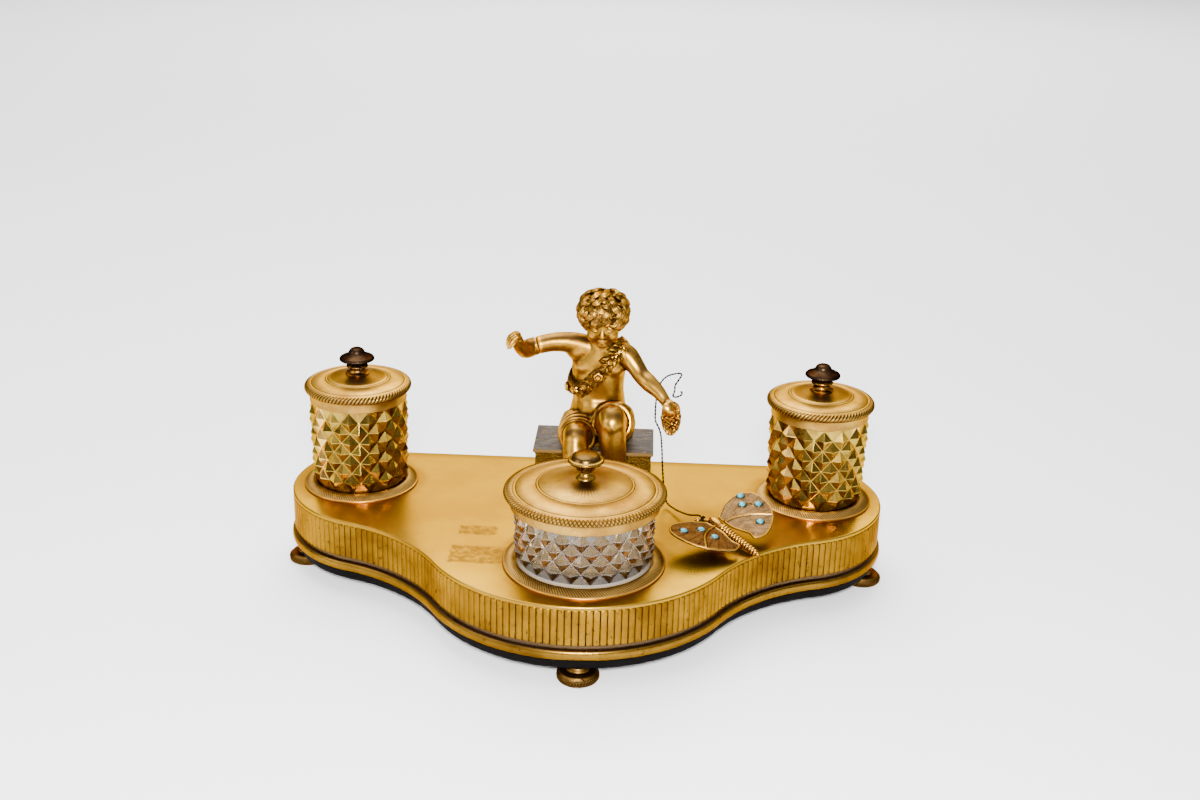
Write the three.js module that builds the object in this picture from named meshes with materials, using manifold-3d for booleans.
// Desk inkstand: a gilt-bronze three-lobed stand on turned feet, with a seated boy on a plinth,
// two diamond-pointed gilt jars, a low cut-glass jar, and a butterfly held on a twisted wire.
// Units are millimetres, +Z is up, the floor is Z = 0 and the front is -Y.
import * as THREE from 'three';
import { mergeVertices } from 'three/addons/utils/BufferGeometryUtils.js';
import Module from 'manifold-3d';

const wasm = await Module();
wasm.setup();

// Plan of the stand: one front lobe, two end lobes, a waist arc between them and a straight back
const frontLobeRadius = 78;
const frontLobeCentreY = -4.5;
const endLobeRadius = 53;
const endLobeCentreX = 98.5;
const endLobeCentreY = 43;
const waistRadius = 89;
const backEdgeY = 82.5;
const backCornerRadius = 26;

// Heights of the stand's layers, from the floor up
const footDiscHeight = 4.6;
const footNeckHeight = 2.4;
const boardThickness = 5.6;
const mouldingHeight = 4.6;
const grooveHeight = 2.2;
const friezeHeight = 17.8;
const plateThickness = 1.8;

// Walls, overhangs and recesses of the stand
const friezeWall = 2;
const mouldingWall = 2.6;
const mouldingOverhang = 1.4;
const grooveDepth = 0.9;
const boardInset = 1.8;
const reedPitch = 3.2;
const reedDepth = 0.75;
const plateEdgeRound = 0.7;
const outlineStep = 10.4;

// Feet
const footDiscRadius = 10.4;
const footNeckRadius = 4.4;
const footBallRadius = 5.6;
const footStudRadius = 1.5;
const footInset = 6;
const footNutWidth = 5.6;
const footNutHeight = 2.2;
const footAngleOnEndLobe = -18;

// Clearances
const runningGap = 0.35;
const seatGap = 0.3;
const overrun = 2;

// The middle line of the fittings stands a little to the right of the outline's middle
const fittingsX = 3;

// Side jars
const sideJarOutset = 18.5;
const sideJarValleyRadius = 23.4;
const sideJarPointRadius = 25.5;
const sideJarFootRadius = 23;
const sideJarFootHeight = 2.6;
const sideJarBodyHeight = 43.4;
const sideJarPointsRound = 16;
const sideJarRows = 4;
const sideJarTaperShare = 0.035;
const sideJarWall = 2.4;
const sideJarFloor = 2.4;

// Front jar
const frontJarOutset = 33.8;
const frontJarValleyRadius = 30.6;
const frontJarPointRadius = 33;
const frontJarFootRadius = 31.4;
const frontJarFootHeight = 3.4;
const frontJarBodyHeight = 25.6;
const frontJarPointsRound = 22;
const frontJarRows = 2.5;
const frontJarWall = 5.5;
const frontJarFloor = 5;

// Knurled rings that hold the jars on the plate
const sideRingOuterRadius = 29.2;
const frontRingOuterRadius = 37.9;
const ringHeight = 3;
const ringEdgeHeight = 1;

// Liners of the side jars
const linerWall = 1.6;
const linerFloor = 2;
const linerLipWidth = 1.4;
const linerLipHeight = 1.4;

// Lids
const sideLidRimRadius = 26.5;
const sideLidDiscRadius = 24.9;
const sideLidSkirtRadius = 24.5;
const sideLidSkirtHeight = 4.7;
const sideLidRimHeight = 4.2;
const sideLidRise = 3.9;
const frontLidRimRadius = 37;
const frontLidDiscRadius = 33.5;
const frontLidSkirtRadius = 34.4;
const frontLidSkirtHeight = 4.7;
const frontLidRimHeight = 3.4;
const frontLidRise = 4.9;
const lidSkirtWall = 1;
const lidSheet = 1.2;
const lidStudRadius = 1.3;

// Knobs
const sideKnobRadius = 8.8;
const sideKnobHeight = 13.8;
const sideKnobFootRadius = 5.9;
const frontKnobRadius = 8.4;
const frontKnobHeight = 12.6;
const frontKnobFootRadius = 4.6;
const knobNutWidth = 5;
const knobNutHeight = 1.8;

// Plinth under the figure
const plinthWidth = 60.5;
const plinthDepth = 32.5;
const plinthBackInset = 2.6;
const plinthBoxHeight = 17.7;
const plinthSlabHeight = 1.8;
const plinthSlabOverhang = 0.9;

// Figure and its fixing
const figureHeight = 84.5;
const figureStudRadius = 1.6;
const figureStudDepth = 6;
const figureNutWidth = 6.4;
const figureNutHeight = 2.6;
const elbowPinRadius = 0.8;
const elbowPinLength = 6.4;
const flowerBunchHeight = 22.5;
const flowersBeyondFist = 2;
const bunchAside = 1;
const bunchLumpShare = 0.14;

// Butterfly
const butterflyX = 64.6;
const butterflyY = -5.5;
const butterflyHeight = 6.3;
const butterflyHeadingAngle = -49.4;
const butterflyDipAngle = 8.6;
const bodyLength = 31.5;
const bodyRadius = 2.7;
const bodyRings = 7;
const wingSpan = 28.5;
const wingSheet = 1.2;
const rightWingTiltAngle = 13;
const leftWingTiltAngle = 7;
const leftWingSweepAngle = 9;
const wingOutlineSteps = 26;
const ridgeSteps = 6;
const stoneRadius = 1.75;
const stoneHeight = 1.1;
const postRadius = 1.3;
const collarRadius = 2;
const collarWire = 0.5;

// Twisted wire from the hand to the butterfly
const wireDiameter = 1.1;
const wireSides = 8;
const wireSteps = 40;

// Fineness of round forms
const ringSegments = 22;
const boreSegments = 16;
const lidSegments = 20;
const frontLidSegments = 26;
const knobSegments = 10;
const footSegments = 10;
const pinSegments = 8;
const collarSegments = 11;
const limbSides = 8;
const fingerSides = 5;
const stoneSides = 6;
const hairColumns = 14;
const hairRows = 9;
const bunchColumns = 10;
const bunchRows = 8;

// Levels worked out from the layers
const boardBottomZ = footDiscHeight + footNeckHeight;
const boardTopZ = boardBottomZ + boardThickness;
const grooveBottomZ = boardTopZ + mouldingHeight;
const friezeBottomZ = grooveBottomZ + grooveHeight;
const plateBottomZ = friezeBottomZ + friezeHeight;
const plateTopZ = plateBottomZ + plateThickness;
const plinthBoxTopZ = plateTopZ + plinthBoxHeight;
const seatZ = plinthBoxTopZ + plinthSlabHeight;
const plinthY = backEdgeY - plinthBackInset - plinthDepth / 2;

// Each jar stands beyond its lobe's centre
const sideJarX = endLobeCentreX + sideJarOutset;
const sideJarY = endLobeCentreY;
const frontJarY = frontLobeCentreY - frontJarOutset;

// Finishes
const finish = (color, roughness, metalness, extra = {}) =>
  new THREE.MeshStandardMaterial({ color, roughness, metalness, ...extra });
const giltSatin = () => finish(0xc89a4a, 0.42, 1);
const giltBright = () => finish(0xc9952f, 0.28, 1);
const giltDull = () => finish(0x8f7245, 0.5, 1);
const bronzeDark = () => finish(0x4d3a2b, 0.45, 1);
const brassPlain = () => finish(0xa98546, 0.4, 1);
const woodBlack = () => finish(0x1d1916, 0.7, 0);
const slabBrown = () => finish(0x6b6055, 0.6, 0.6);
const glassClear = () => finish(0xe6ebef, 0.05, 0, { transparent: true, opacity: 0.4 });
const turquoise = () => finish(0x2fa7ad, 0.35, 0);

const inkstand = new THREE.Group();
const degrees = THREE.MathUtils.degToRad;

// Adds one named piece to a group and hands it back
function place(name, geometry, material, group = inkstand) {
  const mesh = new THREE.Mesh(geometry, material);
  mesh.name = name;
  group.add(mesh);
  return mesh;
}

// Keeps only merged positions, so that neighbouring faces share their vertices
function bare(geometry) {
  const copy = geometry.clone();
  copy.deleteAttribute('normal');
  copy.deleteAttribute('uv');
  return mergeVertices(copy);
}

function solid(geometry) {
  const merged = bare(geometry);
  const vertProperties = Float32Array.from(merged.attributes.position.array);
  const triVerts = Uint32Array.from(merged.index.array);
  return new wasm.Manifold(new wasm.Mesh({ numProp: 3, vertProperties, triVerts }));
}

function geometryOf(manifold) {
  const mesh = manifold.getMesh();
  const geometry = new THREE.BufferGeometry();
  geometry.setAttribute('position', new THREE.BufferAttribute(Float32Array.from(mesh.vertProperties), 3));
  geometry.setIndex(new THREE.BufferAttribute(Uint32Array.from(mesh.triVerts), 1));
  return geometry;
}

const join = (...geometries) => geometryOf(geometries.map(solid).reduce((all, one) => all.add(one)));
const cut = (geometry, ...tools) =>
  geometryOf(tools.map(solid).reduce((left, tool) => left.subtract(tool), solid(geometry)));

// Revolves a profile of [radius, height] pairs about Z, the profile running anticlockwise
function turned(profile, segments) {
  const points = profile.map(([radius, height]) => new THREE.Vector2(radius, height));
  const lathe = bare(new THREE.LatheGeometry(points, segments).rotateX(Math.PI / 2));
  const corners = Array.from(lathe.index.array);
  const kept = corners.filter((_, at) => {
    const [a, b, c] = corners.slice(at - at % 3, at - at % 3 + 3);
    return a !== b && b !== c && c !== a;
  });
  lathe.setIndex(kept);
  return lathe;
}

// An upright round bar between two heights
function bar(radius, bottomZ, topZ, segments) {
  return turned([[0, bottomZ], [radius, bottomZ], [radius, topZ], [0, topZ]], segments);
}

// A hexagonal nut with a round bore, standing on a height
function nut(width, height, boreRadius, bottomZ) {
  const corners = 6;
  const cornerRadius = width / 2 / Math.cos(Math.PI / corners);
  const blank = bar(cornerRadius, bottomZ, bottomZ + height, corners);
  return cut(blank, bar(boreRadius, bottomZ - overrun, bottomZ + height + overrun, pinSegments));
}

function box(width, depth, bottomZ, topZ, x = 0, y = 0) {
  const block = new THREE.BoxGeometry(width, depth, topZ - bottomZ);
  return block.translate(x, y, (bottomZ + topZ) / 2);
}

// Closes a stack of equal rings of points into one skin, with a flat cap at each end.
// leanLeft(column, row) says which way a cell's diagonal runs.
function skin(rings, leanLeft = () => false) {
  const around = rings[0].length;
  const points = rings.flat();
  const faces = [];
  for (let row = 0; row < rings.length - 1; row += 1) {
    for (let column = 0; column < around; column += 1) {
      const a = row * around + column;
      const b = row * around + (column + 1) % around;
      const c = b + around;
      const d = a + around;
      faces.push(...(leanLeft(column, row) ? [a, b, d, b, c, d] : [a, b, c, a, c, d]));
    }
  }
  const average = (ring) => ring.reduce((sum, p) => sum.add(p), new THREE.Vector3()).divideScalar(around);
  const low = points.push(average(rings[0])) - 1;
  const high = points.push(average(rings.at(-1))) - 1;
  const lastRow = (rings.length - 1) * around;
  for (let column = 0; column < around; column += 1) {
    const next = (column + 1) % around;
    faces.push(low, next, column, high, lastRow + column, lastRow + next);
  }
  const geometry = new THREE.BufferGeometry().setFromPoints(points);
  geometry.setIndex(faces);
  return geometry;
}

// The stand's outline, as arcs that meet in common tangents, for the right half.
// Each arc has a centre, a radius, a start and an end angle; a hollow arc runs clockwise.
function rightHalfArcs() {
  const front = new THREE.Vector2(0, frontLobeCentreY);
  const end = new THREE.Vector2(endLobeCentreX, endLobeCentreY);
  const waist = centreTouching(front, frontLobeRadius + waistRadius, end, endLobeRadius + waistRadius);
  const cornerY = backEdgeY - backCornerRadius;
  const reach = endLobeRadius - backCornerRadius;
  const cornerX = endLobeCentreX + Math.sqrt(reach ** 2 - (cornerY - endLobeCentreY) ** 2);
  const corner = new THREE.Vector2(cornerX, cornerY);
  const toward = (from, to) => to.clone().sub(from).angle();
  const turn = (angle) => (angle > Math.PI ? angle - 2 * Math.PI : angle);
  return [
    { centre: front, radius: frontLobeRadius, from: -Math.PI / 2, to: turn(toward(front, waist)) },
    { centre: waist, radius: waistRadius, from: toward(waist, front), to: toward(waist, end), hollow: true },
    { centre: end, radius: endLobeRadius, from: turn(toward(end, waist)), to: turn(toward(end, corner)) },
    { centre: corner, radius: backCornerRadius, from: turn(toward(end, corner)), to: Math.PI / 2 },
  ];
}

// The point at given distances from two others, on the outer side of the line between them
function centreTouching(first, firstDistance, second, secondDistance) {
  const between = second.clone().sub(first);
  const span = between.length();
  const along = (firstDistance ** 2 - secondDistance ** 2 + span ** 2) / (2 * span);
  const aside = Math.sqrt(firstDistance ** 2 - along ** 2);
  const unit = between.normalize();
  const sideways = new THREE.Vector2(unit.y, -unit.x);
  return first.clone().addScaledVector(unit, along).addScaledVector(sideways, aside);
}

const halfArcs = rightHalfArcs();
const arcLength = (arc) => arc.radius * Math.abs(arc.to - arc.from);
const backHalfLength = halfArcs.at(-1).centre.x;
const halfOutlineLength = halfArcs.reduce((sum, arc) => sum + arcLength(arc), backHalfLength);

// A point and its outward direction at a distance from the front's middle, along the right half
function onRightHalf(distance) {
  let rest = distance;
  for (const arc of halfArcs) {
    const length = arcLength(arc);
    if (rest <= length) {
      const angle = arc.from + (arc.to - arc.from) * rest / length;
      const spoke = new THREE.Vector2(Math.cos(angle), Math.sin(angle));
      const point = arc.centre.clone().addScaledVector(spoke, arc.radius);
      return { point, outward: arc.hollow ? spoke.negate() : spoke };
    }
    rest -= length;
  }
  return { point: new THREE.Vector2(backHalfLength - rest, backEdgeY), outward: new THREE.Vector2(0, 1) };
}

// Equal steps all round the outline, each moved out by offsetAt(step)
function outlinePoints(steps, offsetAt) {
  return Array.from({ length: steps }, (_, step) => {
    const distance = 2 * halfOutlineLength * step / steps;
    const left = distance > halfOutlineLength;
    const { point, outward } = onRightHalf(left ? 2 * halfOutlineLength - distance : distance);
    const moved = point.addScaledVector(outward, offsetAt(step));
    return left ? moved.set(-moved.x, moved.y) : moved;
  });
}

const smoothSteps = 2 * Math.round(halfOutlineLength / outlineStep);
const smoothOutline = (offset) => outlinePoints(smoothSteps, () => offset);

function raised(outer, holes, bottomZ, topZ) {
  const shape = new THREE.Shape(outer);
  shape.holes = holes.map((hole) => new THREE.Path(hole));
  const slab = new THREE.ExtrudeGeometry(shape, { depth: topZ - bottomZ, bevelEnabled: false });
  return bare(slab.translate(0, 0, bottomZ));
}

function circlePoints(x, y, radius, segments = pinSegments) {
  return Array.from({ length: segments }, (_, step) => {
    const angle = 2 * Math.PI * step / segments;
    return new THREE.Vector2(x + radius * Math.cos(angle), y + radius * Math.sin(angle));
  });
}

// A moulding run round the outline: the section is a closed list of [offset, height] pairs
function mouldingRound(section) {
  const columns = section.map(([offset, height]) =>
    smoothOutline(offset).map((p) => new THREE.Vector3(p.x, p.y, height)));
  const points = columns.flat();
  const around = smoothSteps;
  const faces = [];
  for (let side = 0; side < section.length; side += 1) {
    const nextSide = (side + 1) % section.length;
    for (let step = 0; step < around; step += 1) {
      const a = side * around + step;
      const b = side * around + (step + 1) % around;
      const c = nextSide * around + (step + 1) % around;
      const d = nextSide * around + step;
      faces.push(a, b, c, a, c, d);
    }
  }
  const geometry = new THREE.BufferGeometry().setFromPoints(points);
  geometry.setIndex(faces);
  return geometry;
}

// Where the feet stand: under each lobe's end and under the back
function footPlaces() {
  const lobeAngle = degrees(footAngleOnEndLobe);
  const endX = endLobeCentreX + (endLobeRadius - footInset) * Math.cos(lobeAngle);
  const endY = endLobeCentreY + (endLobeRadius - footInset) * Math.sin(lobeAngle);
  return [
    { name: 'front', x: fittingsX, y: frontLobeCentreY - frontLobeRadius + footInset },
    { name: 'right', x: endX, y: endY },
    { name: 'left', x: -endX, y: endY },
    { name: 'back', x: fittingsX, y: backEdgeY - footInset },
  ];
}

// Stand: board, moulding, reeded band and top plate
function addStand() {
  const studClearance = footStudRadius + seatGap;
  const studHoles = footPlaces().map(({ x, y }) => circlePoints(x, y, studClearance));
  place('bottom_board', raised(smoothOutline(-boardInset), studHoles, boardBottomZ, boardTopZ), woodBlack());

  const bead = mouldingHeight / 4;
  place('base_moulding', mouldingRound([
    [-mouldingWall, boardTopZ],
    [mouldingOverhang - bead / 2, boardTopZ],
    [mouldingOverhang, boardTopZ + bead],
    [mouldingOverhang, grooveBottomZ - bead],
    [-grooveDepth, grooveBottomZ],
    [-grooveDepth, friezeBottomZ],
    [-mouldingWall, friezeBottomZ],
  ]), giltSatin());

  const reeds = 2 * Math.round(halfOutlineLength / reedPitch);
  const reeded = outlinePoints(2 * reeds, (step) => (step % 2 ? 0 : -reedDepth));
  const frieze = raised(reeded, [smoothOutline(-friezeWall)], friezeBottomZ, plateBottomZ);
  place('reeded_frieze', frieze, giltSatin());
  addTopPlate();
}

// The plate's edge is rounded over, and it has a hole for the figure's stud
function addTopPlate() {
  const rings = [[0, plateBottomZ], [0, plateTopZ - plateEdgeRound], [-plateEdgeRound, plateTopZ]]
    .map(([offset, height]) => smoothOutline(offset).map((p) => new THREE.Vector3(p.x, p.y, height)));
  const studHole = bar(figureStudRadius + seatGap, plateBottomZ - overrun, plateTopZ + overrun, pinSegments);
  studHole.translate(fittingsX, plinthY, 0);
  place('tray_top_plate', cut(skin(rings), studHole), giltSatin());
}

// Feet: a turned disc, a waist and a neck, with a stud that passes the board to a nut inside
function addFeet() {
  const studTop = boardTopZ + footNutHeight + seatGap;
  const discEdge = footDiscHeight / 4;
  const profile = [
    [0, 0],
    [footDiscRadius, 0],
    [footDiscRadius, footDiscHeight - discEdge],
    [footDiscRadius - discEdge, footDiscHeight],
    [footBallRadius, footDiscHeight],
    [footNeckRadius, boardBottomZ],
    [footStudRadius, boardBottomZ],
    [footStudRadius, studTop],
    [0, studTop],
  ];
  for (const { name, x, y } of footPlaces()) {
    place(`foot_${name}`, turned(profile, footSegments), giltDull()).position.set(x, y, 0);
    const footNut = nut(footNutWidth, footNutHeight, footStudRadius + seatGap, boardTopZ);
    place(`foot_nut_${name}`, footNut, brassPlain()).position.set(x, y, 0);
  }
}

// A flat ring with a domed top, soldered to the plate round a jar's foot.
// Its inner facets, not their corners, keep the clearance to the foot.
function jarRing(footRadius, outerRadius) {
  const innerRadius = (footRadius + seatGap) / Math.cos(Math.PI / ringSegments);
  const shoulder = (outerRadius - innerRadius) / 4;
  return turned([
    [innerRadius, plateTopZ],
    [outerRadius, plateTopZ],
    [outerRadius, plateTopZ + ringEdgeHeight],
    [outerRadius - shoulder, plateTopZ + ringHeight],
    [innerRadius, plateTopZ + ringHeight],
    [innerRadius, plateTopZ],
  ], ringSegments);
}

// Outer form of a diamond-pointed jar: foot, rows of four-sided points, then a plain neck.
// Rings alternate valleys and points, and each point is the middle of a leaning square.
function diamondBody(jar) {
  const columns = 2 * jar.pointsRound;
  const halfRows = Math.round(2 * jar.rows);
  const ring = (height, radiusAt) => Array.from({ length: columns }, (_, column) => {
    const angle = 2 * Math.PI * column / columns;
    const radius = radiusAt(column);
    return new THREE.Vector3(radius * Math.cos(angle), radius * Math.sin(angle), height);
  });
  const isPoint = (column, row) => (column + row) % 2 === 1;
  const rings = [ring(plateTopZ, () => jar.footRadius)];
  for (let row = 0; row <= halfRows; row += 1) {
    const share = row / halfRows;
    const taper = 1 - jar.taperShare * (1 - share);
    const edge = row === 0 || row === halfRows;
    const height = jar.bodyBottomZ + (jar.bodyTopZ - jar.bodyBottomZ) * share;
    rings.push(ring(height, (column) =>
      taper * (isPoint(column, row) && !edge ? jar.pointRadius : jar.valleyRadius)));
  }
  rings.push(ring(jar.bodyTopZ, () => jar.neckRadius), ring(jar.neckTopZ, () => jar.neckRadius));
  return skin(rings, isPoint);
}

// A lid, and the levels that the jar's neck takes from it
function lidFor(jar) {
  const skirtBottomZ = jar.bodyTopZ + seatGap;
  const rimBottomZ = skirtBottomZ + jar.lidSkirtHeight;
  const discEdgeZ = rimBottomZ + jar.lidRimHeight;
  const crownZ = discEdgeZ + jar.lidRise;
  return { skirtBottomZ, rimBottomZ, discEdgeZ, crownZ, seatZ: discEdgeZ - lidSheet };
}

// Sizes of a jar that follow from its lid: the neck fits inside the skirt and carries the lid
function withLid(jar) {
  const bodyBottomZ = plateTopZ + jar.footHeight;
  const bodyTopZ = bodyBottomZ + jar.bodyHeight;
  const lid = lidFor({ ...jar, bodyTopZ });
  const neckRadius = jar.lidSkirtRadius - lidSkirtWall - runningGap;
  const boreRadius = neckRadius - jar.wall;
  return { ...jar, bodyBottomZ, bodyTopZ, lid, neckRadius, neckTopZ: lid.seatZ, boreRadius };
}

const sideJar = withLid({
  footRadius: sideJarFootRadius,
  footHeight: sideJarFootHeight,
  bodyHeight: sideJarBodyHeight,
  valleyRadius: sideJarValleyRadius,
  pointRadius: sideJarPointRadius,
  pointsRound: sideJarPointsRound,
  rows: sideJarRows,
  taperShare: sideJarTaperShare,
  wall: sideJarWall,
  lidSkirtRadius: sideLidSkirtRadius,
  lidSkirtHeight: sideLidSkirtHeight,
  lidRimHeight: sideLidRimHeight,
  lidRise: sideLidRise,
});
const frontJar = withLid({
  footRadius: frontJarFootRadius,
  footHeight: frontJarFootHeight,
  bodyHeight: frontJarBodyHeight,
  valleyRadius: frontJarValleyRadius,
  pointRadius: frontJarPointRadius,
  pointsRound: frontJarPointsRound,
  rows: frontJarRows,
  taperShare: 0,
  wall: frontJarWall,
  lidSkirtRadius: frontLidSkirtRadius,
  lidSkirtHeight: frontLidSkirtHeight,
  lidRimHeight: frontLidRimHeight,
  lidRise: frontLidRise,
});

// A lid with a knurled round rim, a skirt outside the jar's neck, and a crown that rises to the knob
function lidGeometry(jar, rimRadius, discRadius, landRadius, segments) {
  const { skirtBottomZ, rimBottomZ, discEdgeZ, crownZ, seatZ } = jar.lid;
  const boreRadius = lidStudRadius + seatGap;
  const innerRadius = jar.lidSkirtRadius - lidSkirtWall;
  const rimMiddleZ = (rimBottomZ + discEdgeZ) / 2;
  const rimStep = (discEdgeZ - rimBottomZ) / 4;
  return turned([
    [boreRadius, crownZ - lidSheet],
    [landRadius, crownZ - lidSheet],
    [jar.boreRadius, seatZ],
    [innerRadius, seatZ],
    [innerRadius, skirtBottomZ],
    [jar.lidSkirtRadius, skirtBottomZ],
    [jar.lidSkirtRadius, rimBottomZ],
    [rimRadius, rimMiddleZ - rimStep],
    [rimRadius, rimMiddleZ + rimStep],
    [discRadius, discEdgeZ],
    [landRadius, crownZ],
    [boreRadius, crownZ],
    [boreRadius, crownZ - lidSheet],
  ], segments);
}

// Knob outlines as shares of the knob's radius and height, from the foot up
const sideKnobShares = [
  [0.67, 0], [0.5, 0.2], [0.62, 0.3], [0.4, 0.4], [0.8, 0.5], [1, 0.58], [0.94, 0.68], [0.56, 0.84],
  [0.25, 1],
];
const frontKnobShares = [
  [0.55, 0], [0.33, 0.24], [0.52, 0.34], [0.36, 0.44], [0.72, 0.52], [1, 0.66], [0.98, 0.72], [0.7, 0.84],
  [0.2, 1],
];

// A knob on the lid's crown, in one piece with the stud that passes the lid
function knobGeometry(shares, radius, height, crownZ) {
  const studBottomZ = crownZ - lidSheet - knobNutHeight - seatGap;
  const outline = shares.map(([across, up]) => [across * radius, crownZ + up * height]);
  return turned([
    [0, studBottomZ],
    [lidStudRadius, studBottomZ],
    [lidStudRadius, crownZ],
    ...outline,
    [0, crownZ + height],
  ], knobSegments);
}

// The hollow of a side jar: a round bore with a wider mouth that holds the liner's lip
function sideHollow() {
  const floorZ = plateTopZ + sideJarFloor;
  const lipSeatZ = sideJar.neckTopZ - seatGap - linerLipHeight;
  const mouthRadius = sideJar.boreRadius + linerLipWidth;
  return turned([
    [0, floorZ],
    [sideJar.boreRadius, floorZ],
    [sideJar.boreRadius, lipSeatZ],
    [mouthRadius, lipSeatZ],
    [mouthRadius, sideJar.neckTopZ + overrun],
    [0, sideJar.neckTopZ + overrun],
  ], boreSegments);
}

// A cup that hangs by its lip in the jar's mouth
function linerGeometry() {
  const outerRadius = sideJar.boreRadius - runningGap;
  const lipRadius = outerRadius + linerLipWidth - runningGap;
  const bottomZ = plateTopZ + sideJarFloor + seatGap;
  const topZ = sideJar.neckTopZ - seatGap;
  const innerRadius = outerRadius - linerWall;
  return turned([
    [0, bottomZ],
    [outerRadius, bottomZ],
    [outerRadius, topZ - linerLipHeight],
    [lipRadius, topZ - linerLipHeight],
    [lipRadius, topZ],
    [innerRadius, topZ],
    [innerRadius, bottomZ + linerFloor],
    [0, bottomZ + linerFloor],
  ], boreSegments);
}

function addLid(name, jar, sizes, x, y) {
  const { crownZ } = jar.lid;
  const landRadius = sizes.knobFootRadius + seatGap;
  const lid = lidGeometry(jar, sizes.rimRadius, sizes.discRadius, landRadius, sizes.segments);
  const knob = knobGeometry(sizes.knobShares, sizes.knobRadius, sizes.knobHeight, crownZ);
  const nutBottomZ = crownZ - lidSheet - knobNutHeight;
  const knobNut = nut(knobNutWidth, knobNutHeight, lidStudRadius + seatGap, nutBottomZ);
  place(`lid_${name}`, lid, giltSatin()).position.set(x, y, 0);
  place(`knob_${name}`, knob, sizes.knobFinish()).position.set(x, y, 0);
  place(`knob_nut_${name}`, knobNut, brassPlain()).position.set(x, y, 0);
}

function addSideJars() {
  const sizes = {
    rimRadius: sideLidRimRadius,
    discRadius: sideLidDiscRadius,
    segments: lidSegments,
    knobFootRadius: sideKnobFootRadius,
    knobRadius: sideKnobRadius,
    knobHeight: sideKnobHeight,
    knobShares: sideKnobShares,
    knobFinish: bronzeDark,
  };
  const body = cut(diamondBody(sideJar), sideHollow());
  for (const [side, x] of [['left', -sideJarX], ['right', sideJarX]]) {
    const ring = jarRing(sideJarFootRadius, sideRingOuterRadius);
    place(`jar_ring_${side}`, ring, giltDull()).position.set(x, sideJarY, 0);
    place(`jar_${side}`, body.clone(), giltBright()).position.set(x, sideJarY, 0);
    place(`liner_${side}`, linerGeometry(), glassClear()).position.set(x, sideJarY, 0);
    addLid(side, sideJar, sizes, x, sideJarY);
  }
}

function addFrontJar() {
  const floorZ = plateTopZ + frontJarFloor;
  const hollow = bar(frontJar.boreRadius, floorZ, frontJar.neckTopZ + overrun, frontLidSegments);
  const ring = jarRing(frontJarFootRadius, frontRingOuterRadius);
  place('jar_ring_front', ring, giltDull()).position.set(fittingsX, frontJarY, 0);
  place('jar_front', cut(diamondBody(frontJar), hollow), glassClear()).position.set(fittingsX, frontJarY, 0);
  addLid('front', frontJar, {
    rimRadius: frontLidRimRadius,
    discRadius: frontLidDiscRadius,
    segments: frontLidSegments,
    knobFootRadius: frontKnobFootRadius,
    knobRadius: frontKnobRadius,
    knobHeight: frontKnobHeight,
    knobShares: frontKnobShares,
    knobFinish: giltBright,
  }, fittingsX, frontJarY);
}

// Plinth: a stippled box under a worn slab, bored for the figure's stud
function addPlinth() {
  const stud = (radius, bottomZ, topZ) =>
    bar(radius, bottomZ, topZ, pinSegments).translate(fittingsX, plinthY, 0);
  const bore = stud(figureStudRadius + seatGap, plateTopZ - overrun, seatZ + overrun);
  const boxBlock = box(plinthWidth, plinthDepth, plateTopZ, plinthBoxTopZ, fittingsX, plinthY);
  place('plinth_box', cut(boxBlock, bore), giltSatin());
  const slabWidth = plinthWidth + 2 * plinthSlabOverhang;
  const slabDepth = plinthDepth + 2 * plinthSlabOverhang;
  const slabBlock = box(slabWidth, slabDepth, plinthBoxTopZ, seatZ, fittingsX, plinthY);
  place('plinth_slab', cut(slabBlock, bore), slabBrown());
  const nutBottomZ = plateBottomZ - figureNutHeight;
  place('figure_stud', stud(figureStudRadius, nutBottomZ - seatGap, seatZ + figureStudDepth), brassPlain());
  const figureNut = nut(figureNutWidth, figureNutHeight, figureStudRadius + seatGap, nutBottomZ);
  place('figure_nut', figureNut, brassPlain()).position.set(fittingsX, plinthY, 0);
}

// Figure: every place is a share of the seated height, from the middle of the seat
const onFigure = ([x, y, z]) => new THREE.Vector3(x, y, z).multiplyScalar(figureHeight)
  .add(new THREE.Vector3(fittingsX, plinthY, seatZ));

// A swelling form carried along stations of [x, y, z, half width, half depth], all as shares
function limb(shares, reference, sides = limbSides) {
  const centres = shares.map(onFigure);
  const rings = shares.map(([, , , wide, deep = wide], index) => {
    const before = centres[Math.max(index - 1, 0)];
    const after = centres[Math.min(index + 1, centres.length - 1)];
    const along = after.clone().sub(before).normalize();
    const across = new THREE.Vector3().crossVectors(reference, along).normalize();
    const upward = new THREE.Vector3().crossVectors(along, across);
    return Array.from({ length: sides }, (_, side) => {
      const angle = 2 * Math.PI * side / sides;
      return centres[index].clone()
        .addScaledVector(across, wide * figureHeight * Math.cos(angle))
        .addScaledVector(upward, deep * figureHeight * Math.sin(angle));
    });
  });
  return skin(rings);
}

// An egg form about the origin, with three half sizes as shares of the figure's height
function egg(halfShares, detail = 1) {
  const [x, y, z] = halfShares.map((half) => half * figureHeight);
  return bare(new THREE.IcosahedronGeometry(1, detail)).scale(x, y, z);
}

function eggAt(placeShares, halfShares, detail = 1) {
  const centre = onFigure(placeShares);
  return egg(halfShares, detail).translate(centre.x, centre.y, centre.z);
}

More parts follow.
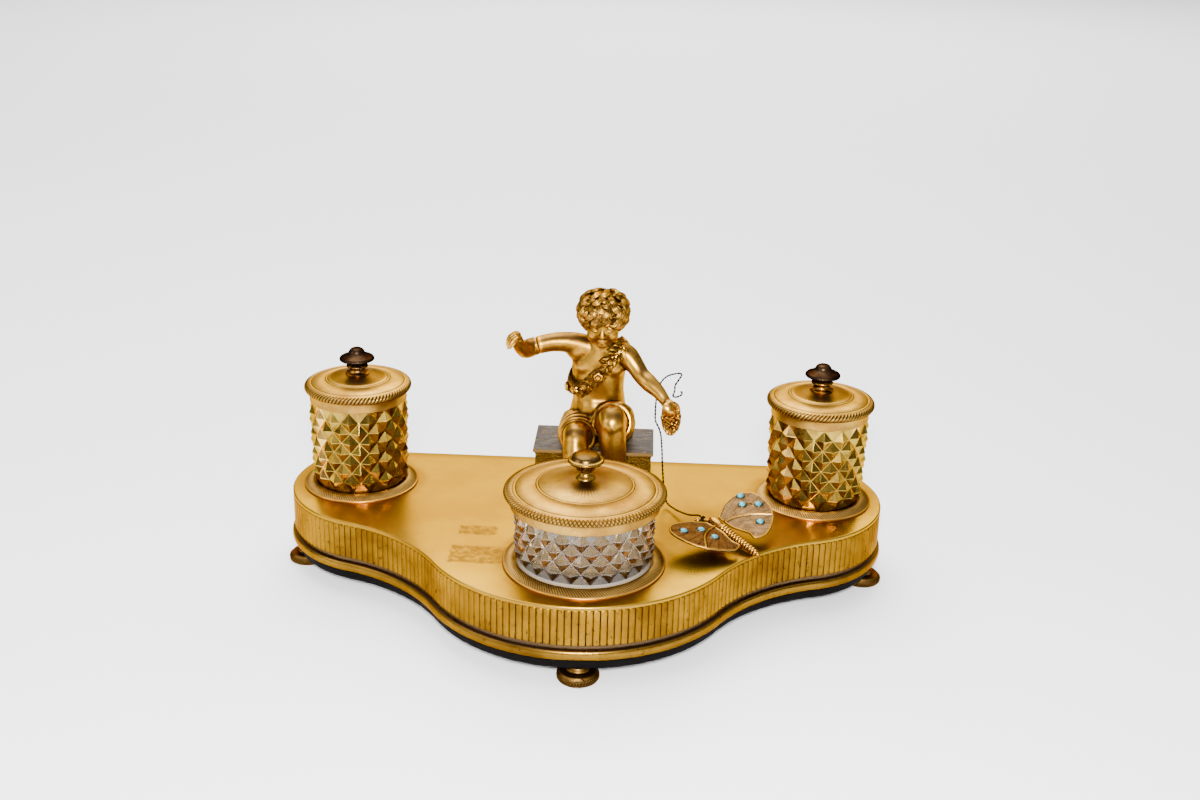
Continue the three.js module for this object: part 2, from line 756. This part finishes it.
// An egg covered in lumps, as curls and small flowers are: every other point stands out
function lumpyEgg(halfSizes, columns, rows, lumpShare) {
  const halves = new THREE.Vector3(...halfSizes);
  const rings = Array.from({ length: rows - 1 }, (_, row) => {
    const polar = Math.PI * (row + 1) / rows;
    return Array.from({ length: columns }, (_unused, column) => {
      const swell = (row + column) % 2 ? 1 : 1 - lumpShare;
      const angle = 2 * Math.PI * column / columns;
      const wide = swell * Math.sin(polar);
      const height = -swell * Math.cos(polar);
      const spoke = new THREE.Vector3(wide * Math.cos(angle), wide * Math.sin(angle), height);
      return spoke.multiply(halves);
    });
  });
  return skin(rings);
}

const alongX = new THREE.Vector3(1, 0, 0);
const alongY = new THREE.Vector3(0, 1, 0);
const alongZ = new THREE.Vector3(0, 0, 1);

// Stations of the figure's limbs and cloth: x, y, z, half width and half depth, as shares of its height
const torsoShares = [
  [0.012, 0.018, -0.024, 0.172, 0.142], [0.012, 0.012, 0.08, 0.189, 0.146],
  [0.02, 0.007, 0.237, 0.168, 0.135], [0.019, 0, 0.343, 0.154, 0.118],
  [0.017, -0.009, 0.45, 0.163, 0.116], [0.022, -0.018, 0.54, 0.172, 0.108],
  [0.032, -0.036, 0.64, 0.085, 0.072], [0.036, -0.057, 0.71, 0.062, 0.062],
];
const rightUpperArmShares = [
  [-0.036, -0.018, 0.58, 0.078], [-0.118, -0.024, 0.594, 0.073], [-0.201, -0.038, 0.606, 0.062],
  [-0.296, -0.059, 0.608, 0.056], [-0.385, -0.083, 0.599, 0.054],
];
const rightForearmShares = [
  [-0.385, -0.083, 0.599, 0.054], [-0.421, -0.092, 0.595, 0.056], [-0.452, -0.128, 0.598, 0.055],
  [-0.469, -0.175, 0.617, 0.047], [-0.488, -0.216, 0.647, 0.038], [-0.497, -0.243, 0.675, 0.033],
];
const leftArmShares = [
  [0.107, -0.03, 0.592, 0.071], [0.185, -0.042, 0.57, 0.07], [0.23, -0.066, 0.525, 0.06],
  [0.279, -0.107, 0.469, 0.056], [0.386, -0.199, 0.398, 0.043], [0.438, -0.25, 0.347, 0.034],
];
const leftThighShares = [
  [0.095, 0.012, 0.095, 0.111], [0.099, -0.083, 0.135, 0.114], [0.107, -0.189, 0.185, 0.107],
  [0.111, -0.266, 0.218, 0.097], [0.114, -0.308, 0.232, 0.083],
];
const leftShinShares = [
  [0.112, -0.284, 0.254, 0.088], [0.115, -0.301, 0.18, 0.087], [0.121, -0.303, 0.095, 0.082],
  [0.144, -0.286, -0.118, 0.05], [0.147, -0.284, -0.237, 0.052],
];
const rightThighShares = [
  [-0.077, 0.012, 0.089, 0.107], [-0.085, -0.095, 0.102, 0.107], [-0.095, -0.213, 0.116, 0.097],
  [-0.099, -0.284, 0.123, 0.09], [-0.102, -0.325, 0.116, 0.078],
];
const rightShinShares = [
  [-0.101, -0.29, 0.142, 0.083], [-0.101, -0.331, 0.083, 0.083], [-0.097, -0.385, 0, 0.076],
  [-0.089, -0.485, -0.166, 0.048], [-0.09, -0.514, -0.237, 0.05],
];
const waistRollShares = [
  [-0.172, -0.012, 0.142, 0.031], [-0.136, -0.083, 0.16, 0.031], [-0.059, -0.12, 0.173, 0.028],
  [0.012, -0.138, 0.207, 0.028], [0.071, -0.16, 0.272, 0.028], [0.148, -0.154, 0.298, 0.03],
  [0.206, -0.114, 0.249, 0.031], [0.22, -0.059, 0.166, 0.033], [0.215, -0.036, 0.071, 0.038],
  [0.211, -0.031, -0.012, 0.036],
];
const lapFoldShares = [
  [-0.166, -0.071, 0.107, 0.036], [-0.107, -0.166, 0.148, 0.04], [-0.024, -0.201, 0.124, 0.038],
  [0.024, -0.207, 0.065, 0.036], [-0.036, -0.201, 0.007, 0.028],
];
const thighSleeveShares = [
  [0.136, 0, 0.095, 0.114], [0.121, -0.083, 0.137, 0.128], [0.114, -0.166, 0.178, 0.125],
  [0.112, -0.213, 0.199, 0.114],
];
const hipDrapeShares = [
  [-0.08, 0.012, 0.08, 0.118], [-0.088, -0.083, 0.092, 0.121], [-0.092, -0.172, 0.099, 0.114],
  [-0.095, -0.219, 0.102, 0.099],
];
const garlandShares = [
  [0.173, -0.047, 0.639, 0.021], [0.136, -0.095, 0.609, 0.026], [0.077, -0.125, 0.55, 0.028],
  [0.028, -0.137, 0.48, 0.033], [-0.026, -0.135, 0.414, 0.038], [-0.088, -0.118, 0.372, 0.033],
  [-0.144, -0.073, 0.362, 0.033], [-0.168, -0.012, 0.372, 0.031],
];

const fingerShares = [
  [-0.506, -0.269, 0.712, 0.014], [-0.536, -0.303, 0.704, 0.012], [-0.545, -0.3, 0.663, 0.009],
];
const thumbShares = [[-0.488, -0.285, 0.69, 0.014], [-0.515, -0.315, 0.655, 0.01]];
const fingerSpreadShares = [0.0095, -0.019];

// Head: places and half sizes about the skull's middle, before the head is bowed
const headPlaceShares = [0.039, -0.089, 0.834];
const headBowAngle = 25;
const faceShares = [
  { at: [0, -0.018, -0.03], half: [0.112, 0.124, 0.132], detail: 1 },
  { at: [0, -0.146, -0.04], half: [0.019, 0.026, 0.024], detail: 0 },
  { at: [0, -0.112, -0.108], half: [0.04, 0.028, 0.03], detail: 0 },
];
const hairPlaceShares = [0, 0.012, 0.028];
const hairHalfShares = [0.155, 0.154, 0.146];
const hairLumpShare = 0.1;

function headGeometry() {
  const offset = (geometry, shares) => geometry.translate(...shares.map((share) => share * figureHeight));
  const face = faceShares.map(({ at, half, detail }) => offset(egg(half, detail), at));
  const hairHalves = hairHalfShares.map((half) => half * figureHeight);
  const hair = lumpyEgg(hairHalves, hairColumns, hairRows, hairLumpShare);
  const head = join(offset(hair, hairPlaceShares), ...face);
  const centre = onFigure(headPlaceShares);
  return head.rotateX(degrees(headBowAngle)).translate(centre.x, centre.y, centre.z);
}

// The direction in which the right upper arm ends, and a round bar through the joint along it
function elbowDirection() {
  const [before, end] = rightUpperArmShares.slice(-2).map(onFigure);
  return end.sub(before).normalize();
}

function elbowBar(radius, length) {
  const centre = onFigure(rightUpperArmShares.at(-1));
  const turn = new THREE.Quaternion().setFromUnitVectors(alongZ, elbowDirection());
  return bar(radius, -length / 2, length / 2, pinSegments).applyQuaternion(turn)
    .translate(centre.x, centre.y, centre.z);
}

const fistPlaceShares = [0.45, -0.26, 0.337];
const fistHalfShares = [0.05, 0.047, 0.05];
const bellyPlaceShares = [0.019, -0.053, 0.225];
const bellyHalfShares = [0.13, 0.095, 0.107];
const toesPlaceShares = { left: [0.157, -0.345, -0.2], right: [-0.095, -0.575, -0.2] };
const toesHalfShares = [0.056, 0.105, 0.054];
const palmPlaceShares = [-0.497, -0.257, 0.69];
const palmHalfShares = [0.036, 0.042, 0.03];
const roseShares = [[-0.02, -0.15, 0.42], [-0.1, -0.135, 0.366], [0.06, -0.135, 0.51]];
const roseHalfShares = [0.045, 0.036, 0.045];

// Body: the boy as cast, with the cloth and the garland, cut flat where it sits and stands
function figureBody() {
  const torso = limb(torsoShares, alongY);
  const arms = [limb(rightUpperArmShares, alongZ), limb(leftArmShares, alongY)];
  const legShares = [leftThighShares, leftShinShares, rightThighShares, rightShinShares];
  const legs = legShares.map((one) => limb(one, alongX));
  const toes = [toesPlaceShares.left, toesPlaceShares.right].map((at) => eggAt(at, toesHalfShares, 0));
  const cloth = [thighSleeveShares, hipDrapeShares].map((one) => limb(one, alongX));
  const rolls = [waistRollShares, lapFoldShares, garlandShares].map((one) => limb(one, alongY, fingerSides));
  const roses = roseShares.map((at) => eggAt(at, roseHalfShares, 0));
  const rounds = [eggAt(bellyPlaceShares, bellyHalfShares), eggAt(fistPlaceShares, fistHalfShares)];
  const dress = [...cloth, ...rolls, ...roses];
  const body = join(torso, ...arms, ...legs, ...toes, ...rounds, ...dress, headGeometry());

  const seatDepth = plinthDepth + 2 * plinthSlabOverhang + 2 * seatGap;
  const seatWidth = plinthWidth + 2 * plinthSlabOverhang + 2 * seatGap;
  const seat = box(seatWidth, seatDepth, plateTopZ - overrun, seatZ, fittingsX, plinthY);
  const ground = box(figureHeight, 2 * figureHeight, plateTopZ - figureHeight, plateTopZ, fittingsX, plinthY);
  const studBoreTopZ = seatZ + figureStudDepth + seatGap;
  const studBore = bar(figureStudRadius + seatGap, seatZ - overrun, studBoreTopZ, pinSegments)
    .translate(fittingsX, plinthY, 0);
  const pinBore = elbowBar(elbowPinRadius + seatGap, elbowPinLength + 2 * seatGap);
  return cut(body, seat, ground, studBore, pinBore);
}

// Right forearm: cast apart, pinned at the elbow a seat gap beyond the upper arm
function forearmGeometry() {
  const away = elbowDirection().multiplyScalar(seatGap);
  const pinBore = elbowBar(elbowPinRadius + seatGap, elbowPinLength + 2 * seatGap);
  const [spreadX, spreadY] = fingerSpreadShares;
  const moved = (step) =>
    fingerShares.map(([x, y, z, half]) => [x + step * spreadX, y + step * spreadY, z, half]);
  const fingers = [-1, 0, 1].map((step) => limb(moved(step), alongX, fingerSides));
  const thumb = limb(thumbShares, alongX, fingerSides);
  const palm = eggAt(palmPlaceShares, palmHalfShares, 0);
  const arm = join(limb(rightForearmShares, alongZ), palm, thumb, ...fingers);
  return cut(arm.translate(away.x, away.y, away.z), pinBore);
}

// Bunch of small flowers that hangs from the fist, hollowed to clear it
function bunchGeometry() {
  const fist = onFigure(fistPlaceShares);
  const [fistHalfX, , fistHalfZ] = fistHalfShares.map((half) => half * figureHeight);
  const bunchRadius = fistHalfX + flowersBeyondFist;
  const bunchTopZ = fist.z + fistHalfZ + seatGap;
  const bunchHalves = [bunchRadius, bunchRadius, flowerBunchHeight / 2];
  const bunch = lumpyEgg(bunchHalves, bunchColumns, bunchRows, bunchLumpShare);
  bunch.translate(fist.x + bunchAside, fist.y, bunchTopZ - flowerBunchHeight / 2);
  const grown = fistHalfShares.map((half) => half * figureHeight + seatGap);
  const hollow = bare(new THREE.IcosahedronGeometry(1, 1)).scale(...grown).translate(fist.x, fist.y, fist.z);
  return cut(bunch, hollow, limb(leftArmShares.slice(-3).map(grownStation), alongY));
}

// A limb's station widened by the seat gap
const grownStation = ([x, y, z, half]) => [x, y, z, half + seatGap / figureHeight];

function addFigure() {
  place('figure_body', figureBody(), giltBright());
  place('right_forearm', forearmGeometry(), giltBright());
  place('right_elbow_pin', elbowBar(elbowPinRadius, elbowPinLength), brassPlain());
  place('flower_bunch', bunchGeometry(), giltDull());
}

// Butterfly: X runs toward the tail and Z is up in its own group, whose origin is in the thorax
const bodyProfileShares = [[0, -0.13], [0.6, -0.1], [1, 0.02], [0.9, 0.12], [0.62, 0.17]];
const abdomenEndShares = [0.24, 1];
const ringBulgeShare = 0.92;
const ringGrooveShare = 0.74;
const neckShares = [[0, 0, 0, 0.06], [-0.13, -0.045, -0.028, 0.042], [-0.26, -0.1, -0.072, 0.035]];
const headOfFlyShares = [-0.275, -0.105, -0.076];
const headOfFlyRadiusShare = 0.05;
const collarPlaceShares = [-0.19, -0.071, -0.05];

// The body along X: a thorax, then an abdomen of rings that narrows to the tail
function butterflyBody() {
  const profile = bodyProfileShares.map(([across, along]) => [across * bodyRadius, along * bodyLength]);
  const [thinShare, tailShare] = abdomenEndShares;
  const startShare = bodyProfileShares.at(-1)[1];
  const alongAt = (ring) => (startShare + (tailShare - startShare) * ring / bodyRings) * bodyLength;
  for (let ring = 0; ring < bodyRings; ring += 1) {
    const width = bodyRadius * (1 - (1 - thinShare) * ring / bodyRings);
    profile.push([width * ringBulgeShare, alongAt(ring + 1 / 2)]);
    profile.push([width * ringGrooveShare, alongAt(ring + 1)]);
  }
  profile.push([0, tailShare * bodyLength]);
  const trunk = turned(profile, limbSides).rotateY(Math.PI / 2);
  const [headX, headY, headZ] = headOfFlyShares.map((share) => share * bodyLength);
  const head = bare(new THREE.IcosahedronGeometry(headOfFlyRadiusShare * bodyLength, 1));
  head.translate(headX, headY, headZ);
  return join(trunk, pathTube(neckShares), head);
}

// A round tube through stations of [x, y, z, radius], as shares of the butterfly's length
function pathTube(shares) {
  const centres = shares.map(([x, y, z]) => new THREE.Vector3(x, y, z).multiplyScalar(bodyLength));
  const rings = shares.map(([, , , radius], index) => {
    const along = centres[Math.min(index + 1, centres.length - 1)].clone()
      .sub(centres[Math.max(index - 1, 0)]).normalize();
    const across = new THREE.Vector3().crossVectors(alongZ, along).normalize();
    const upward = new THREE.Vector3().crossVectors(along, across);
    return Array.from({ length: limbSides }, (_, side) => {
      const angle = 2 * Math.PI * side / limbSides;
      return centres[index].clone()
        .addScaledVector(across, radius * bodyLength * Math.cos(angle))
        .addScaledVector(upward, radius * bodyLength * Math.sin(angle));
    });
  });
  return skin(rings);
}

// Fore and hind wing of one side in one sheet: [toward the tail, outward] as shares of the span
const wingShares = [
  [-0.05, 0.12], [-0.24, 0.45], [-0.28, 0.82], [-0.13, 1], [0.17, 1.02], [0.46, 0.91], [0.61, 0.78],
  [0.81, 0.43], [0.74, 0.22], [0.6, 0.235], [0.43, 0.17], [0.28, 0.12],
];
const ridgeShares = [[0.12, 0.13], [0.16, 0.35], [0.28, 0.6], [0.5, 0.84]];
const cabochonShares = [[0, 0], [1, 0], [0.8, 0.7], [0, 1]];
const wingStoneShares = {
  right: [[-0.21, 0.77], [-0.02, 0.64], [0.16, 0.85], [0.52, 0.56]],
  left: [[-0.04, 0.77], [0.08, 0.45], [0.36, 0.43]],
};

function wingGeometry(side) {
  const onWing = (height) => ([along, out]) =>
    new THREE.Vector3(along * wingSpan, side * out * wingSpan, height);
  const rim = new THREE.CatmullRomCurve3(wingShares.map(onWing(0)), true, 'centripetal');
  const outline = rim.getPoints(wingOutlineSteps).slice(0, -1);
  const shape = new THREE.Shape(outline.map(({ x, y }) => new THREE.Vector2(x, y)));
  const sheet = bare(new THREE.ExtrudeGeometry(shape, { depth: wingSheet, bevelEnabled: false }));
  const ridgeLine = new THREE.CatmullRomCurve3(ridgeShares.map(onWing(wingSheet)));
  return join(sheet, tube(ridgeLine, wingSheet / 2, ridgeSteps, fingerSides));
}

// A round tube along a curve, closed at both ends
function tube(curve, radius, steps, sides) {
  const section = new THREE.Shape(circlePoints(0, 0, radius, sides));
  return bare(new THREE.ExtrudeGeometry(section, { steps, bevelEnabled: false, extrudePath: curve }));
}

// A swept wing moves out far enough that the back of its root still clears the body
function addWing(name, side, tilt, sweep, fly) {
  const wing = new THREE.Group();
  const [rootEndShare] = wingShares.at(-1);
  wing.position.y = side * rootEndShare * wingSpan * Math.sin(degrees(sweep));
  wing.rotation.set(side * degrees(tilt), 0, -side * degrees(sweep), 'ZYX');
  fly.add(wing);
  place(`butterfly_${name}_wings`, wingGeometry(side), giltDull(), wing);
  return wing;
}

function addStones(side, shares, firstNumber, wing) {
  const cabochon = cabochonShares.map(([across, up]) => [across * stoneRadius, up * stoneHeight]);
  shares.forEach(([along, out], index) => {
    const stone = place(`turquoise_${firstNumber + index}`, turned(cabochon, stoneSides), turquoise(), wing);
    stone.position.set(along * wingSpan, side * out * wingSpan, wingSheet + seatGap);
  });
}

function addButterfly() {
  const fly = new THREE.Group();
  fly.position.set(butterflyX, butterflyY, plateTopZ + butterflyHeight);
  fly.rotation.set(0, degrees(butterflyDipAngle), degrees(butterflyHeadingAngle), 'ZYX');
  inkstand.add(fly);
  place('butterfly_body', butterflyBody(), giltBright(), fly);
  const right = addWing('right', 1, rightWingTiltAngle, 0, fly);
  const left = addWing('left', -1, leftWingTiltAngle, leftWingSweepAngle, fly);
  addStones(1, wingStoneShares.right, 1, right);
  addStones(-1, wingStoneShares.left, 1 + wingStoneShares.right.length, left);

  const collar = new THREE.TorusGeometry(collarRadius, collarWire, fingerSides, collarSegments);
  const [first, , last] = neckShares.map(([x, y, z]) => new THREE.Vector3(x, y, z));
  const neckLine = last.sub(first).normalize();
  const ring = place('leash_collar', bare(collar), bronzeDark(), fly);
  ring.position.set(...collarPlaceShares.map((share) => share * bodyLength));
  ring.quaternion.setFromUnitVectors(alongZ, neckLine);

  const postTop = plateTopZ + butterflyHeight - bodyRadius / Math.cos(degrees(butterflyDipAngle)) - seatGap;
  place('butterfly_post', bar(postRadius, plateTopZ, postTop, pinSegments), brassPlain())
    .position.set(butterflyX, butterflyY, 0);
}

// Twisted wire: from a hook on the fist, up in a loop, down behind the arm and along to the collar
const wireRoute = [
  [46.6, 37, 96.8], [47.2, 36, 95.8], [45.6, 37, 94.1], [43.7, 39, 92.9], [42.8, 41, 92.6],
  [43.5, 42, 95], [43.8, 43, 97.8], [45.4, 44, 100.2], [46.8, 46, 102.1], [46.2, 48, 102.3],
  [43.4, 50, 101.3], [39.4, 54, 98.2], [36.8, 55, 94.8], [35.2, 55, 90.5], [34.8, 53, 87.2],
  [34.4, 50, 84.9], [34.3, 50, 80.5], [34.6, 49.6, 75.4], [36.2, 48.4, 72.6], [37.4, 46.8, 69.8],
  [38.2, 38.5, 66], [38.6, 35.5, 60.5], [39, 32.5, 55.5], [39.7, 30, 49.5], [40.5, 28, 44.7],
  [41.5, 25, 41.5], [45.2, 17.8, 41.3], [50, 10, 42.6], [52.6, 5.4, 44], [55, 1.5, 45.8],
  [56.6, -0.5, 46.75], [58, -1.8, 46.75],
];

function addWire() {
  const points = wireRoute.map((point) => new THREE.Vector3(...point));
  const curve = new THREE.CatmullRomCurve3(points, false, 'centripetal');
  place('leash_wire', tube(curve, wireDiameter / 2, wireSteps, wireSides), bronzeDark());
}

addStand();
addFeet();
addSideJars();
addFrontJar();
addPlinth();
addFigure();
addButterfly();
addWire();

export default inkstand;
